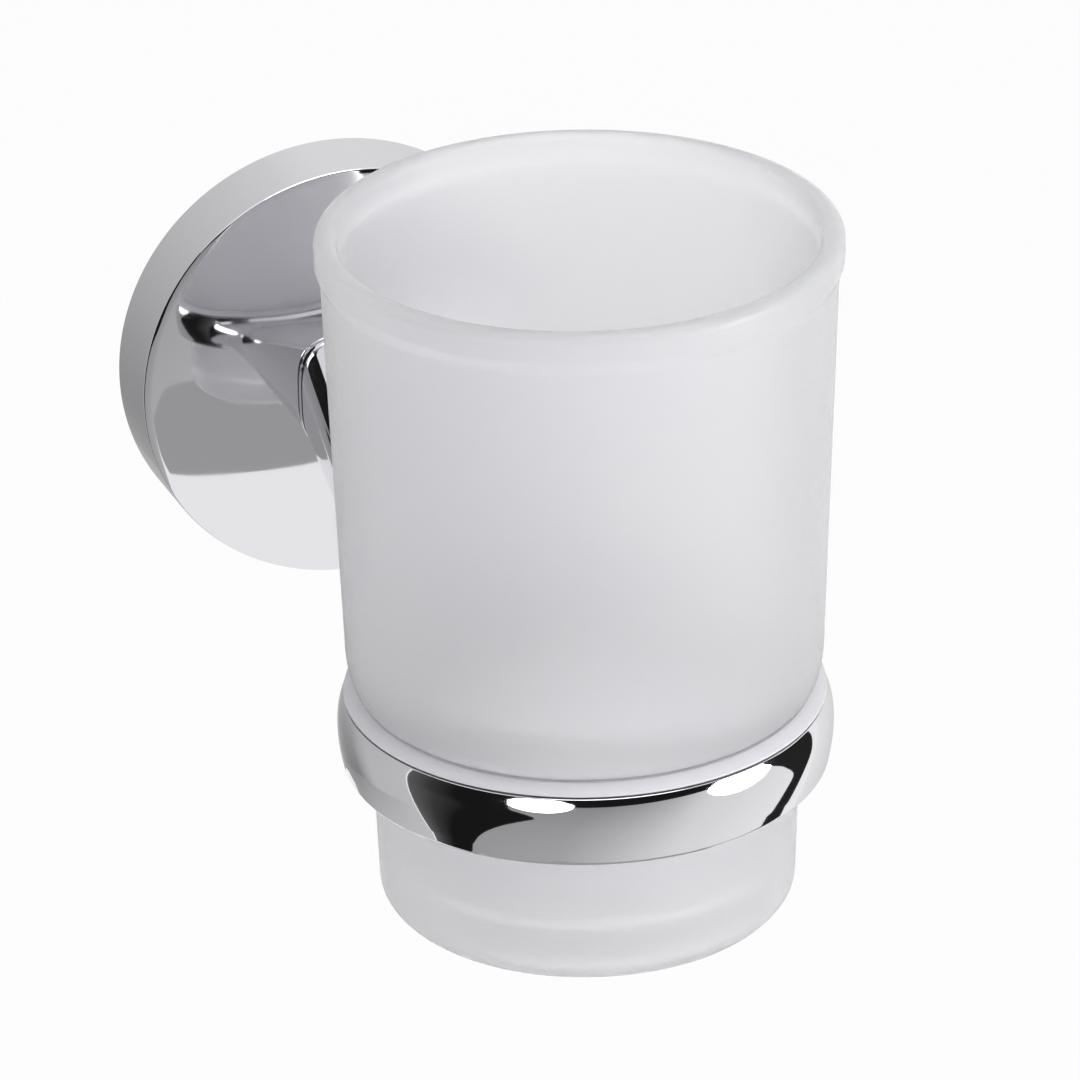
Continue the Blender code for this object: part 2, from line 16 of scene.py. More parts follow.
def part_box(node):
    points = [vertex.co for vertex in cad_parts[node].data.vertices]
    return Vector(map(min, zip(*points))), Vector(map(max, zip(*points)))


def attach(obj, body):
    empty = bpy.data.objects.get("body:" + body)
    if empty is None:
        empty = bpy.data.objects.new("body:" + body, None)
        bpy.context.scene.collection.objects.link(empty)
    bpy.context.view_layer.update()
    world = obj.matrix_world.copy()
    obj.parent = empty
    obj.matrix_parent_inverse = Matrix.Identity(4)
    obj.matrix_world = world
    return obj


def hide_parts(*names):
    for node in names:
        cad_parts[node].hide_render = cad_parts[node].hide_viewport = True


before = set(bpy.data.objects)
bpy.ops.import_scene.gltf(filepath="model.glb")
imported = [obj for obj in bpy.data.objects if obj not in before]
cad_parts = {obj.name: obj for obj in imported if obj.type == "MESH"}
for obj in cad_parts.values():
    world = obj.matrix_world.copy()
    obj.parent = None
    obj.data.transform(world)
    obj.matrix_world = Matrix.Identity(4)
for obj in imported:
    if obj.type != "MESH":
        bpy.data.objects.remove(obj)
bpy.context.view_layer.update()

bl_info = {
    "name": "Toothbrush holder",
    "version": (1, 0, 0),
    "blender": (4, 5, 0),
    "location": "3D View > Sidebar > Holder",
    "description": "Makes a wall-mounted toothbrush holder piece by piece",
    "category": "Add Mesh",
}

HALF_TURN = math.pi
FULL_TURN = 2 * math.pi
TURN_STEPS = 256
FILLET_STEPS = 7
GLASS_FILLET_STEPS = 10
EDGE_STEPS = 6
SUPPORT = 0.00012
SAME_POINT = 1e-7
MOST_OF_SIDE = 0.48
SHARP_ANGLE = math.radians(38)
# corners of a quad that are one point at a pole, and the triangle that is left
POLE_CORNERS = {(0, 1): (0, 2, 3), (2, 3): (0, 1, 2), (1, 2): (0, 1, 3), (3, 0): (0, 1, 2)}

DOME_OUTSIDE_STEPS = 72
DOME_INSIDE_STEPS = 40
BIT_STEPS = 64
BIT_HINT = (0.3, 0.5, 0.8)
CUT_OVERRUN = 0.002

BELLY_CURVE_SHARE = 0.4
BELLY_STEPS = 41
# points of the belly's curve that the rounded edges take the place of
UPPER_EDGE_POINTS = 3
LOWER_EDGE_POINTS = 7

ARM_COLUMNS = 192
ARM_ROWS = 60
SLOPE_STEP = 0.0005
SWEEP_SPACING = 1.8
CAP_ROWS = 12
CAP_DEPTH = 0.001
CAP_WIDTH_SHARE = 0.97
CAP_HEIGHT_SHARE = 0.9

SHOULDER_STEPS = 25


def length(label, note, default):
    """Return a length in metres for a property group."""
    return FloatProperty(
        name=label, description=note, default=default, min=0, precision=5, unit="LENGTH"
    )


def angle(label, note, degrees):
    """Return an angle for a property group."""
    return FloatProperty(
        name=label, description=note, default=math.radians(degrees), subtype="ANGLE"
    )


def number(label, note, default):
    """Return a plain factor for a property group."""
    return FloatProperty(name=label, description=note, default=default, min=0, precision=3)


def colour(label, note, default):
    """Return a linear colour for a property group."""
    return FloatVectorProperty(
        name=label, description=note, default=default, min=0, max=1, size=3, subtype="COLOR"
    )


class BaseSizes(bpy.types.PropertyGroup):
    """Sizes of the round base on the wall."""

    back_radius: length("Back radius", "Radius on the wall", 0.0315)
    front_radius: length("Front radius", "Radius at the front edge", 0.0312)
    depth: length("Depth", "From the wall to the front edge", 0.0113)
    lip_width: length("Lip width", "Flat lip round the front", 0.0008)
    lip_rise: length("Lip rise", "From the front edge up to the dome's edge", 0.0003)
    edge_round: length("Edge round", "Rounding of the edges", 0.0003)
    wall: length("Wall", "Thickness of the casting", 0.0022)
    boss_reach: length("Boss reach", "From the wall to the boss's face", 0.0153)
    seat_radius: length("Seat radius", "Radius of the flat seat behind the boss", 0.0123)
    dome_radius: length("Dome radius", "Radius of the sphere that the front is part of", 0.15)
    screw_hole: length("Screw hole", "Radius of the hole for the arm's screw", 0.0033)
    grub_hole: length("Grub hole", "Radius of the hole for the grub screw", 0.0023)
    grub_height: length("Grub height", "From the wall to the grub screw's axis", 0.0048)


class RingSizes(bpy.types.PropertyGroup):
    """Sizes of the casting that carries ring and arm."""

    reach: length("Reach", "From the wall to the ring's axis", 0.1065)
    drop: length("Drop", "From the base's centre down to the ring's top", 0.0053)
    height: length("Height", "Height of the ring", 0.0096)
    top_radius: length("Top radius", "Outer radius at the top", 0.0318)
    belly_radius: length("Belly radius", "Largest outer radius", 0.0327)
    bottom_radius: length("Bottom radius", "Outer radius at the bottom", 0.0321)
    belly_share: number("Belly place", "Share of the height where it is widest", 0.31)
    bore_radius: length("Bore radius", "Inner radius", 0.0302)
    top_round: length("Top round", "Rounding of the upper edge", 0.00022)
    bottom_round: length("Bottom round", "Rounding of the lower edge", 0.0007)
    arm_start: length("Arm start", "From the wall to the arm's face", 0.0156)
    root_width: length("Root width", "Half width of the arm's root", 0.009)
    root_height: length("Root height", "Half height of the arm's root", 0.0087)
    root_drop: length("Root drop", "From the base's centre down to the root's", 0.0013)
    squareness: number("Squareness", "Power of the arm's outline, 2 for an oval", 3.4)
    arm_edge: length("Arm edge", "Rounding of the arm's and the boss's edge", 0.0003)
    arm_end_width: length("Arm end width", "Half width that the arm tapers to", 0.0175)
    arm_end_depth: length("Arm end depth", "From the wall to where it has that width", 0.086)
    arm_margin: length("Arm margin", "From the arm's top to the ring's top", 0.0006)
    sweep_start: length("Sweep start", "From the wall to where the arm sweeps out", 0.058)
    sweep_angle: angle("Sweep angle", "Half of the ring's arc that the arm runs into", 43)
    sweep_pull: length("Sweep pull", "How strongly the sweep follows the ring's side", 0.010)
    sweep_spread: length("Sweep spread", "The same, up and down", 0.0012)
    sweep_overlap: length("Sweep overlap", "Height that the sweep gains on the ring", 0.0003)
    sweep_sink: length("Sweep sink", "Depth of the sweep's end in the ring's side", 0.00003)
    tap_radius: length("Tap radius", "Radius of the tapped hole", 0.0033)
    tap_depth: length("Tap depth", "Depth of the tapped hole", 0.0125)


class LinerSizes(bpy.types.PropertyGroup):
    """Sizes of the plastic bush between ring and glass."""

    top: length("Top below centre", "From the base's centre down to the lip", 0.00385)
    lip_radius: length("Lip radius", "Radius of the upper edge of the lip", 0.02995)
    edge_drop: length("Edge drop", "Height that the lip falls outwards", 0.00085)
    seat_gap: length("Seat gap", "Gap between the ring and the lip", 0.0003)
    flange_radius: length("Flange radius", "Outer radius over the ring", 0.0318)
    skirt_radius: length("Skirt radius", "Outer radius inside the ring", 0.0299)
    bore_radius: length("Bore radius", "Inner radius", 0.029)
    recess: length("Recess", "From the ring's lower edge up to the skirt", 0.001)
    edge_round: length("Edge round", "Rounding of the edges", 0.0002)


class TumblerSizes(bpy.types.PropertyGroup):
    """Sizes of the glass."""

    height: length("Height", "Overall height", 0.0953)
    rim_radius: length("Rim radius", "Outer radius of the mouth", 0.034)
    lip_width: length("Lip width", "Thickness of the rolled lip", 0.0028)
    lip_round: length("Lip round", "Rounding of the lip", 0.00138)
    bead_height: length("Bead height", "Height of the rolled lip", 0.0038)
    bead_round: length("Bead round", "Hollow under the lip", 0.0016)
    top_radius: length("Top radius", "Wall radius under the lip", 0.0333)
    waist_radius: length("Waist radius", "Wall radius above the shoulder", 0.0315)
    shoulder_height: length("Shoulder height", "From the foot up to the seat", 0.03145)
    shoulder_rise: length("Shoulder rise", "Height of the rounded shoulder", 0.0066)
    shoulder_inset: length("Shoulder inset", "Width of the rounded shoulder", 0.0019)
    lower_radius: length("Lower radius", "Wall radius under the seat", 0.02865)
    foot_radius: length("Foot radius", "Wall radius at the foot", 0.0276)
    foot_round: length("Foot round", "Rounding of the foot", 0.0034)
    foot_thickness: length("Foot thickness", "Thickness of the bottom", 0.006)
    inner_foot_round: length("Inner foot round", "Rounding inside the foot", 0.005)
    inner_round: length("Inner round", "Rounding inside the shoulder", 0.0045)
    kick_radius: length("Kick radius", "Radius of the hollow under the foot", 0.021)
    kick_depth: length("Kick depth", "Depth of that hollow", 0.0009)
    edge_round: length("Edge round", "Rounding of the seat's and the hollow's edges", 0.0004)
    wall: length("Wall", "Thickness of the glass", 0.0026)


class Finishes(bpy.types.PropertyGroup):
    """Colours of the materials and of the stage."""

    chrome: colour("Chrome", "Colour of the plating", (0.80, 0.795, 0.825))
    glass: colour("Glass", "Colour of the frosted glass", (0.97, 0.97, 1.0))
    liner: colour("Liner", "Colour of the plastic bush", (0.52, 0.52, 0.55))
    zinc: colour("Zinc", "Colour of the bare casting", (0.42, 0.43, 0.45))
    steel: colour("Steel", "Colour of the screws", (0.50, 0.50, 0.52))
    backdrop: colour("Backdrop", "Colour of the floor", (0.94, 0.94, 0.94))


def settings(name):
    """Return one of the add-on's property groups from the scene."""
    return getattr(bpy.context.scene, "holder_" + name)


# Shapes


def soften(corners, closed=False, steps=FILLET_STEPS):
    """Round the corners of an outline and return its points as an array.

    Each corner is (across, along, radius). The arc that replaces it is, for t from 0 to 1,
    centre + (sin((1 - t) w) a + sin(t w) b) / sin(w), where a and b run from the arc's centre to
    its two ends and w is the angle between them. A point close to each end of an arc keeps the
    straight part next to it flat in the shading.
    """
    places = np.array([corner[:2] for corner in corners], float)
    points = []
    for index, corner in enumerate(corners):
        place = places[index]
        if corner[2] <= 0 or (not closed and index in (0, len(corners) - 1)):
            points.append(place[None, :])
            continue
        back = places[index - 1] - place
        ahead = places[(index + 1) % len(places)] - place
        back_run, ahead_run = np.linalg.norm(back), np.linalg.norm(ahead)
        back, ahead = back / back_run, ahead / ahead_run
        half = math.acos(np.clip(back @ ahead, -1, 1)) / 2
        setback = min(corner[2] / math.tan(half), MOST_OF_SIDE * min(back_run, ahead_run))
        radius = setback * math.tan(half)
        middle = (back + ahead) / np.linalg.norm(back + ahead)
        centre = place + middle * radius / math.sin(half)
        first, last = place + back * setback - centre, place + ahead * setback - centre
        sweep = HALF_TURN - 2 * half
        t = np.linspace(0, 1, steps + 1)[:, None]
        arc = np.sin((1 - t) * sweep) * first + np.sin(t * sweep) * last
        arc = centre + arc / math.sin(sweep)
        near = place + back * min(setback + SUPPORT, back_run / 2)
        far = place + ahead * min(setback + SUPPORT, ahead_run / 2)
        points += [near[None, :], arc, far[None, :]]
    outline = np.concatenate(points)
    keep = np.r_[True, np.linalg.norm(np.diff(outline, axis=0), axis=1) > SAME_POINT]
    return outline[keep]


def turn(outline, steps=TURN_STEPS, forward=False, centre=(0, 0, 0)):
    """Turn an outline of (radius, height) points round an axis: a grid of points.

    A point is (r cos u, r sin u, h) for u from 0 to a full turn, or (r cos u, -h, r sin u) for a
    piece that comes forward from the wall.
    """
    u = np.linspace(0, FULL_TURN, steps, endpoint=False)[None, :]
    radius, height = outline[:, :1], outline[:, 1:2] + 0 * u
    across, up = radius * np.cos(u), radius * np.sin(u)
    places = (across, -height, up) if forward else (across, up, height)
    return np.stack(places, axis=-1) + np.array(centre, float)


def skin(grid, ring=False):
    """Return the points and faces of a closed skin over a grid of rows and columns.

    The columns close on themselves. The rows do too if ring is true, and otherwise the first and
    the last row are poles, each one point. Faces are turned round if they enclose less than
    nothing, so that they point out.
    """
    rows, columns = grid.shape[:2]
    index = np.arange(rows * columns).reshape(rows, columns)
    if ring:
        index = np.vstack([index, index[:1]])
    else:
        index[0], index[-1] = index[0, 0], index[-1, 0]
    after = np.roll(index, -1, axis=1)
    quads = np.stack([index[:-1], after[:-1], after[1:], index[1:]], axis=-1).reshape(-1, 4)
    points = grid.reshape(-1, 3)
    used, quads = np.unique(quads, return_inverse=True)
    points, quads = points[used], quads.reshape(-1, 4)
    a, b, c, d = (points[quads[:, corner]] for corner in range(4))
    volume = np.einsum("ij,ij->i", a, np.cross(b, c) + np.cross(c, d)).sum()
    return points, quads if volume > 0 else quads[:, ::-1]


def piece(name, skins, material):
    """Make an object of one or more closed skins, shaded smooth with its sharp edges kept."""
    points, faces, count = [], [], 0
    for some_points, quads in skins:
        whole = np.ones(len(quads), bool)
        triangles = []
        for (one, other), corners in POLE_CORNERS.items():
            pole = quads[:, one] == quads[:, other]
            whole &= ~pole
            triangles += (quads[pole][:, corners] + count).tolist()
        faces += (quads[whole] + count).tolist() + triangles
        points.append(some_points)
        count += len(some_points)
    mesh = bpy.data.meshes.new(name)
    mesh.from_pydata(np.concatenate(points).tolist(), [], faces)
    mesh.update()
    item = bpy.data.objects.new(name, mesh)
    bpy.context.scene.collection.objects.link(item)
    item.data.materials.append(material)
    finish_edges(item)
    return item


def finish_edges(item):
    """Shade a piece smooth and keep its sharp edges."""
    item.data.shade_smooth()
    item.data.set_sharp_from_angle(angle=SHARP_ANGLE)


def cut(item, tool):
    """Cut a piece with another closed skin, which is removed afterwards."""
    change = item.modifiers.new(tool.name, "BOOLEAN")
    change.operation = "DIFFERENCE"
    change.solver = "EXACT"
    change.object = tool
    bpy.context.view_layer.update()
    evaluated = item.evaluated_get(bpy.context.evaluated_depsgraph_get())
    mesh = bpy.data.meshes.new_from_object(evaluated)
    mesh.name = item.name
    item.modifiers.clear()
    item.data = mesh
    bpy.data.objects.remove(tool, do_unlink=True)
    finish_edges(item)


def drill_bit(name, radius, start, end, material):
    """Make a round cutter between two points: circles of one radius square to the axis."""
    start, end = np.array(start, float), np.array(end, float)
    axis = (end - start) / np.linalg.norm(end - start)
    side = np.cross(axis, BIT_HINT)
    side /= np.linalg.norm(side)
    other = np.cross(axis, side)
    u = np.linspace(0, FULL_TURN, BIT_STEPS, endpoint=False)[None, :, None]
    circle = radius * (np.cos(u) * side + np.sin(u) * other)
    grid = np.concatenate([start + 0 * circle, start + circle, end + circle, end + 0 * circle])
    return piece(name, [skin(grid)], material)


# Materials


class Nodes:
    """A material under construction, with short ways to add and join its nodes."""

    def __init__(self, name):
        self.material = bpy.data.materials.new(name)
        self.material.use_nodes = True
        self.tree = self.material.node_tree
        self.shader = self.tree.nodes["Principled BSDF"]
        self.place = self.add("ShaderNodeTexCoord").outputs["Object"]

    def add(self, kind, **inputs):
        """Add a node and set some of its inputs, with _ for each space in a name."""
        node = self.tree.nodes.new(kind)
        for name, value in inputs.items():
            node.inputs[name.replace("_", " ")].default_value = value
        return node

    def join(self, output, target):
        """Link an output to an input."""
        self.tree.links.new(output, target)

    def noise(self, scale, detail=2, roughness=0.5, stretch=(1, 1, 1)):
        """Add noise over the object's own coordinates, with features of 1 / scale metres."""
        mapping = self.add("ShaderNodeMapping", Scale=stretch)
        self.join(self.place, mapping.inputs["Vector"])
        noise = self.add("ShaderNodeTexNoise", Scale=scale, Detail=detail, Roughness=roughness)
        self.join(mapping.outputs["Vector"], noise.inputs["Vector"])
        return noise.outputs["Fac"]

    def spread(self, source, low, high, start=0.3, stop=0.7):
        """Map a noise value to a range."""
        node = self.add(
            "ShaderNodeMapRange", From_Min=start, From_Max=stop, To_Min=low, To_Max=high
        )
        self.join(source, node.inputs["Value"])
        return node.outputs["Result"]

    def tint(self, source, colour, depth):
        """Colour that varies by a share of itself with a noise value."""
        mix = self.add("ShaderNodeMix")
        mix.data_type = "RGBA"
        sockets = {socket.identifier: socket for socket in (*mix.inputs, *mix.outputs)}
        sockets["A_Color"].default_value = (*[value * (1 - depth) for value in colour], 1)
        sockets["B_Color"].default_value = (*[min(value * (1 + depth), 1) for value in colour], 1)
        self.join(source, sockets["Factor_Float"])
        self.join(sockets["Result_Color"], self.shader.inputs["Base Color"])

    def bump(self, source, distance, before=None):
        """Add relief of a height in metres, over an earlier one if there is one."""
        node = self.add("ShaderNodeBump", Strength=1, Distance=distance)
        self.join(source, node.inputs["Height"])
        if before:
            self.join(before, node.inputs["Normal"])
        self.join(node.outputs["Normal"], self.shader.inputs["Normal"])
        return node.outputs["Normal"]

    def roughen(self, source, low, high):
        """Let the roughness vary between two values with a noise value."""
        self.join(self.spread(source, low, high), self.shader.inputs["Roughness"])

    def set(self, **inputs):
        """Set constants on the shader's own sockets, with _ for each space in a name."""
        for name, value in inputs.items():
            self.shader.inputs[name.replace("_", " ")].default_value = value


def chrome_plate(name):
    """Bright plating: faint waves from the casting and a breath of polish haze."""
    nodes = Nodes(name)
    nodes.set(Metallic=1)
    nodes.tint(nodes.noise(scale=90, detail=3), settings("finishes").chrome, depth=0.015)
    nodes.roughen(nodes.noise(scale=140, detail=4), low=0.025, high=0.06)
    waves = nodes.bump(nodes.noise(scale=160, detail=1), distance=0.000004)
    nodes.bump(nodes.noise(scale=2600, detail=2), distance=0.0000002, before=waves)
    return nodes.material


def frosted_glass(name):
    """Acid-frosted glass: milky, with a fine sandy grain."""
    nodes = Nodes(name)
    nodes.set(IOR=1.5, Metallic=0, Transmission_Weight=0.82)
    nodes.tint(nodes.noise(scale=45, detail=3), settings("finishes").glass, depth=0.02)
    nodes.roughen(nodes.noise(scale=900, detail=3), low=0.42, high=0.55)
    grain = nodes.bump(nodes.noise(scale=3500, detail=3, roughness=0.6), distance=0.000004)
    nodes.bump(nodes.noise(scale=120, detail=2), distance=0.00002, before=grain)
    return nodes.material


def milky_plastic(name):
    """Pale plastic with the faint flow marks of a moulding."""
    nodes = Nodes(name)
    nodes.set(IOR=1.49)
    flow = nodes.noise(scale=200, detail=3, stretch=(1, 1, 4))
    nodes.tint(flow, settings("finishes").liner, depth=0.015)
    nodes.roughen(nodes.noise(scale=500, detail=3), low=0.3, high=0.4)
    nodes.bump(nodes.noise(scale=200, detail=1), distance=0.000001)
    return nodes.material


def bare_zinc(name):
    """Bare die-cast zinc: mottled grey with a soft grainy relief."""
    nodes = Nodes(name)
    nodes.set(Metallic=0.9)
    mottle = nodes.noise(scale=260, detail=5, roughness=0.65)
    nodes.tint(mottle, settings("finishes").zinc, depth=0.16)
    nodes.roughen(nodes.noise(scale=420, detail=4), low=0.38, high=0.6)
    grain = nodes.bump(nodes.noise(scale=1500, detail=4, roughness=0.6), distance=0.00003)
    nodes.bump(nodes.noise(scale=150, detail=2), distance=0.00006, before=grain)
    return nodes.material


def turned_steel(name):
    """Turned steel with fine tool marks and small stains."""
    nodes = Nodes(name)
    nodes.set(Metallic=1)
    stains = nodes.noise(scale=700, detail=4, roughness=0.6)
    nodes.tint(stains, settings("finishes").steel, depth=0.1)
    nodes.roughen(nodes.noise(scale=1200, detail=3), low=0.24, high=0.4)
    marks = nodes.noise(scale=2500, detail=2, stretch=(0.15, 2, 0.15))
    nodes.bump(marks, distance=0.000012)
    return nodes.material


# Pieces


def base_outline(sizes):
    """Outline of the hollow base, from the screw hole over the front to the inside.

    The front is part of a sphere: its depth is c + sqrt(R^2 - r^2), with R smaller by the wall
    for the inside.
    """
    edge = sizes.front_radius - sizes.lip_width
    centre = sizes.depth + sizes.lip_rise - math.sqrt(sizes.dome_radius**2 - edge**2)
    side = sizes.back_radius - sizes.wall

    def dome(start, end, inset, steps):
        across = np.linspace(start, end, steps)
        depth = centre + np.sqrt((sizes.dome_radius - inset) ** 2 - across**2)
        return np.stack([across, depth], axis=1)

    outside = dome(sizes.screw_hole, edge, 0, DOME_OUTSIDE_STEPS)
    inside = dome(side, sizes.seat_radius, sizes.wall, DOME_INSIDE_STEPS)
    rim = soften([
        (*outside[-1], 0),
        (sizes.front_radius, sizes.depth, sizes.edge_round),
        (sizes.back_radius, 0, sizes.edge_round),
        (side, 0, 0),
        (*inside[0], 0),
    ])
    seat = np.array([[sizes.screw_hole, inside[-1][1]]])
    return np.concatenate([outside[:-1], rim, inside[1:], seat])


def rounded_square(power):
    """Columns of the superellipse |x|^n + |z|^n = 1, by the angle u: cos and sin to the 2 / n."""
    u = np.linspace(0, FULL_TURN, ARM_COLUMNS, endpoint=False)[None, :]
    cos, sin = np.cos(u), np.sin(u)
    return np.sign(cos) * np.abs(cos) ** (2 / power), np.sign(sin) * np.abs(sin) ** (2 / power)


def boss_grid(base, ring):
    """Grid of the low boss that the arm stands on, from its foot in the dome to the screw hole.

    Its outline is the arm's rounded square, with a quarter of a circle round the front edge.
    """
    across, up = rounded_square(ring.squareness)
    foot = base.boss_reach - base.wall
    t = np.linspace(0, HALF_TURN / 2, EDGE_STEPS)[:, None]
    inset = np.vstack([[[0]], ring.arm_edge * (1 - np.cos(t))])
    depth = np.vstack([[[foot]], base.boss_reach - ring.arm_edge * (1 - np.sin(t))])
    wide, high = ring.root_width - inset, ring.root_height - inset
    side = np.stack([wide * across, -depth + 0 * across, high * up - ring.root_drop], axis=-1)
    hole = turn(
        np.array([[base.screw_hole, foot], [base.screw_hole, base.boss_reach]]),
        ARM_COLUMNS,
        forward=True,
    )
    return np.concatenate([hole[:1], side, hole[1:]])


def ring_outline(sizes):
    """Outline of the ring: a parabola bellies out between its rounded edges.

    The side is (1-t)^2 a + 2 t (1-t) b + t^2 c, with b placed so that it passes through the
    widest point.
    """
    top, bottom = -sizes.drop, -sizes.drop - sizes.height
    share, rest = BELLY_CURVE_SHARE, 1 - BELLY_CURVE_SHARE
    start = np.array([sizes.top_radius, top])
    widest = np.array([sizes.belly_radius, top - sizes.height * sizes.belly_share])
    end = np.array([sizes.bottom_radius, bottom])
    pull = (widest - start * rest**2 - end * share**2) / (2 * share * rest)
    t = np.linspace(0, 1, BELLY_STEPS)[:, None]
    side = start * (1 - t) ** 2 + pull * 2 * t * (1 - t) + end * t**2
    upper = soften([
        (sizes.bore_radius, (top + bottom) / 2, 0),
        (sizes.bore_radius, top, sizes.top_round),
        (*start, sizes.top_round),
        (*side[UPPER_EDGE_POINTS], 0),
    ])
    lower = soften([
        (*side[-LOWER_EDGE_POINTS], 0),
        (*end, sizes.bottom_round),
        (sizes.bore_radius, bottom, sizes.top_round),
        (sizes.bore_radius, (top + bottom) / 2 - SUPPORT, 0),
    ])
    return np.concatenate([upper[:-1], side[UPPER_EDGE_POINTS:-LOWER_EDGE_POINTS], lower])


def belly_radius_at(sizes, height):
    """Outer radius of the ring at given heights, read off its outline."""
    outline = ring_outline(sizes)
    outer = outline[outline[:, 0] > sizes.bottom_radius - sizes.bottom_round]
    outer = outer[np.argsort(outer[:, 1])]
    return np.interp(height, outer[:, 1], outer[:, 0])


def arm_end(sizes):
    """Return the height of the arm's middle at the ring, and half the arm's height there."""
    return -sizes.drop - sizes.height / 2, sizes.height / 2 - sizes.arm_margin


def arm_section(sizes, depth, inset=0):
    """Sections of the arm at the given depths.

    A section is a superellipse, |x / a|^n + |z / b|^n = 1, that grows flatter and wider towards
    the ring.
    """
    across, up = rounded_square(sizes.squareness)
    middle, half_height = arm_end(sizes)
    ring_back = sizes.reach - sizes.top_radius
    taper = np.clip((depth - sizes.arm_start) / (ring_back - sizes.arm_start), 0, 1)
    share = (depth - sizes.arm_start) / (sizes.arm_end_depth - sizes.arm_start)
    wide = sizes.root_width + (sizes.arm_end_width - sizes.root_width) * share - inset
    high = sizes.root_height + (half_height - sizes.root_height) * taper - inset
    centre = -sizes.root_drop + (middle + sizes.root_drop) * taper
    return np.stack([wide * across, -depth + 0 * across, centre + high * up], axis=-1)


def arm_sweep(sizes, start):
    """Rows that sweep from the last plain section into the ring's side, and end inside it.

    Each column is a Hermite curve, which leaves along the arm and arrives on the ring's side,
    running along that side: (2t^3-3t^2+1) a + (t^3-2t^2+t) a' + (3t^2-2t^3) b + (t^3-t^2) b'.
    """
    across, up = rounded_square(sizes.squareness)
    u = np.linspace(0, FULL_TURN, ARM_COLUMNS, endpoint=False)[None, :]
    cos, sin = np.cos(u), np.sin(u)
    middle, half_height = arm_end(sizes)
    before = sizes.sweep_start - SLOPE_STEP
    slope = arm_section(sizes, np.array([[sizes.sweep_start]]))
    slope = (slope - arm_section(sizes, np.array([[before]])))[0] / SLOPE_STEP

    turn_to = sizes.sweep_angle * across
    climb = (half_height + sizes.sweep_overlap) * up
    height = middle + climb
    radius = belly_radius_at(sizes, height) - sizes.sweep_sink
    end = np.stack(
        [radius * np.sin(turn_to), -sizes.reach + radius * np.cos(turn_to), height], axis=-1
    )[0]
    out = np.stack(
        [
            np.cos(turn_to) * cos * sizes.sweep_pull,
            -np.sin(turn_to) * cos * sizes.sweep_pull,
            sizes.sweep_spread * sin,
        ],
        axis=-1,
    )[0]
    run = start[:, 1:2] - end[:, 1:2]
    t = (1 - (1 - np.linspace(0, 1, ARM_ROWS)) ** SWEEP_SPACING)[1:, None, None]
    sweep = (
        (2 * t**3 - 3 * t**2 + 1) * start
        + (t**3 - 2 * t**2 + t) * slope * run
        + (3 * t**2 - 2 * t**3) * end
        + (t**3 - t**2) * out
    )

    inner = sizes.bore_radius + CAP_DEPTH
    shrink = np.linspace(1, 0, CAP_ROWS)[:, None]
    cap_turn, cap_climb = turn_to * shrink * CAP_WIDTH_SHARE, climb * shrink * CAP_HEIGHT_SHARE
    cap = np.stack(
        [inner * np.sin(cap_turn), -sizes.reach + inner * np.cos(cap_turn), middle + cap_climb],
        axis=-1,
    )
    return np.concatenate([sweep, cap])


def arm_grid(sizes):
    """Grid of the arm, from the tapped hole's end over the root's face and on into the ring."""
    edge = sizes.arm_edge
    hole_end = sizes.arm_start + sizes.tap_depth
    hole = turn(
        soften([
            (0, hole_end, 0),
            (sizes.tap_radius, hole_end, 0),
            (sizes.tap_radius, sizes.arm_start, 0),
        ]),
        ARM_COLUMNS,
        forward=True,
    )
    t = np.linspace(HALF_TURN / 2, 0, EDGE_STEPS)[:, None]
    root_depth = sizes.arm_start + edge * (1 - np.sin(t))
    root = arm_section(sizes, root_depth, edge * (1 - np.cos(t)))
    share = np.linspace(0, 1, ARM_ROWS)[1:, None]
    plain_start = sizes.arm_start + edge
    plain = arm_section(sizes, plain_start + (sizes.sweep_start - plain_start) * share)
    return np.concatenate([hole, root, plain, arm_sweep(sizes, plain[-1])])


def liner_outline(sizes, ring):
    """Outline of the bush: a sloping lip over the ring and a skirt inside it."""
    top = -sizes.top
    seat = -ring.drop + sizes.seat_gap
    foot = -ring.drop - ring.height + sizes.recess
    return soften([
        (sizes.bore_radius, top, sizes.edge_round),
        (sizes.lip_radius, top, sizes.edge_round),
        (sizes.flange_radius, top - sizes.edge_drop, sizes.edge_round / 2),
        (sizes.flange_radius, seat, 0),
        (sizes.skirt_radius, seat, 0),
        (sizes.skirt_radius, foot, sizes.edge_round),
        (sizes.bore_radius, foot, sizes.edge_round),
    ], closed=True)


